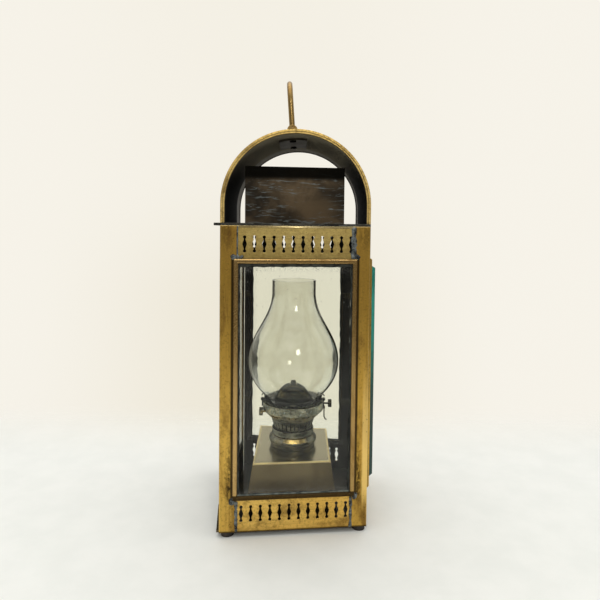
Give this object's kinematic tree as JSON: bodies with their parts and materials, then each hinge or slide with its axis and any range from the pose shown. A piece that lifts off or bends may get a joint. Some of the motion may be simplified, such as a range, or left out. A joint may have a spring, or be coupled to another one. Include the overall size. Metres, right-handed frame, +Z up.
{
  "type": "oil lantern",
  "caption": "Tapered brass oil lantern: glazed case with pierced vents, vaulted hood, folding loop handle, hinged side door, and an oil lamp with a bulged glass chimney inside.",
  "frame": {"origin": "on the floor, under the middle of the case", "axes": "+X towards the door, +Y from the front glass to the back glass, +Z up"},
  "size_m": [0.1664, 0.1674, 0.4757],
  "materials": {
    "aged_brass": "aged, stained brass",
    "patina_brass": "dark brown patina",
    "tank_brass": "dull olive brass",
    "pane_glass": "clear, dusty",
    "bevelled_glass": "thick, bevelled",
    "chimney_glass": "clear, blown",
    "wick_cotton": "woven, charred tip",
    "foot_black": "black, dull"
  },
  "bodies": {
    "case": {"base_plate": "patina_brass", "burner_air_band": "patina_brass", "burner_gallery": "patina_brass", "chimney_clips": "patina_brass", "corner_post_back_left": "aged_brass", "corner_post_back_right": "aged_brass", "corner_post_front_left": "aged_brass", "corner_post_front_right": "aged_brass", "deck_plate": "patina_brass", "feet": "foot_black", "flame_dome": "patina_brass", "gallery_wire": "patina_brass", "glass_frame_back": "aged_brass", "glass_frame_front": "aged_brass", "glass_frame_left": "aged_brass", "glazing_clips": "patina_brass", "handle_backing_plate": "patina_brass", "handle_ears": "aged_brass", "handle_rivets": "aged_brass", "hinge_pins": "aged_brass", "hood_rim_back": "aged_brass", "hood_rim_front": "aged_brass", "hood_shell": "patina_brass", "left_kick_lip": "patina_brass", "lower_vent_back": "aged_brass", "lower_vent_front": "aged_brass", "lower_vent_left": "aged_brass", "lower_vent_right": "aged_brass", "oil_tank": "tank_brass", "pane_back": "pane_glass", "pane_front": "pane_glass", "pane_left": "pane_glass", "post_hinge_leaves": "aged_brass", "tank_collar": "patina_brass", "tank_stops": "patina_brass", "upper_vent_back": "aged_brass", "upper_vent_front": "aged_brass", "upper_vent_left": "aged_brass", "upper_vent_right": "aged_brass", "vent_box": "patina_brass", "wick_tube_carrier": "patina_brass", "wick_tubes": "patina_brass"},
    "door": {"door_frame": "aged_brass", "door_glass": "bevelled_glass", "door_hinge_leaves": "aged_brass", "door_catch": "aged_brass"},
    "bail": {"carry_bail": "aged_brass"},
    "chimney": {"chimney": "chimney_glass"},
    "front_winder": {"front_winder_shaft": "patina_brass", "front_winder_wheels": "patina_brass", "front_winder_knob": "patina_brass"},
    "front_wick": {"front_wick": "wick_cotton"},
    "rear_winder": {"rear_winder_shaft": "patina_brass", "rear_winder_wheels": "patina_brass", "rear_winder_knob": "patina_brass"},
    "rear_wick": {"rear_wick": "wick_cotton"}
  },
  "joints": [
    {"name": "door_hinge", "type": "hinge", "parent": "case", "child": "door", "pos_m": [0.0782, 0.0539, 0.159], "axis": [0, 0, 1], "range_deg": [0, 120]},
    {"name": "bail_hinge", "type": "hinge", "parent": "case", "child": "bail", "pos_m": [-0.00572, 0, 0.4168], "axis": [0, 1, 0], "range_deg": [-86, 94]},
    {"name": "chimney_lift", "type": "slide", "parent": "case", "child": "chimney", "axis": [0, 0, 1], "range_m": [0, 0.03]},
    {"name": "front_wick_slide", "type": "slide", "parent": "case", "child": "front_wick", "axis": [0, 0, 1], "range_m": [-0.012, 0.006]},
    {"name": "front_winder_turn", "type": "hinge", "parent": "case", "child": "front_winder", "pos_m": [-0.0026, -0.0155, 0.107], "axis": [1, 0, 0], "range_deg": [-142, 72]},
    {"name": "rear_wick_slide", "type": "slide", "parent": "case", "child": "rear_wick", "axis": [0, 0, 1], "range_m": [-0.012, 0.006]},
    {"name": "rear_winder_turn", "type": "hinge", "parent": "case", "child": "rear_winder", "pos_m": [-0.0026, 0.0155, 0.107], "axis": [1, 0, 0], "range_deg": [-72, 142]}
  ],
  "couplings": [
    {"joint": "front_winder_turn", "follows": "front_wick_slide", "rad_per_m": 204.08},
    {"joint": "rear_winder_turn", "follows": "rear_wick_slide", "rad_per_m": -204.08}
  ]
}
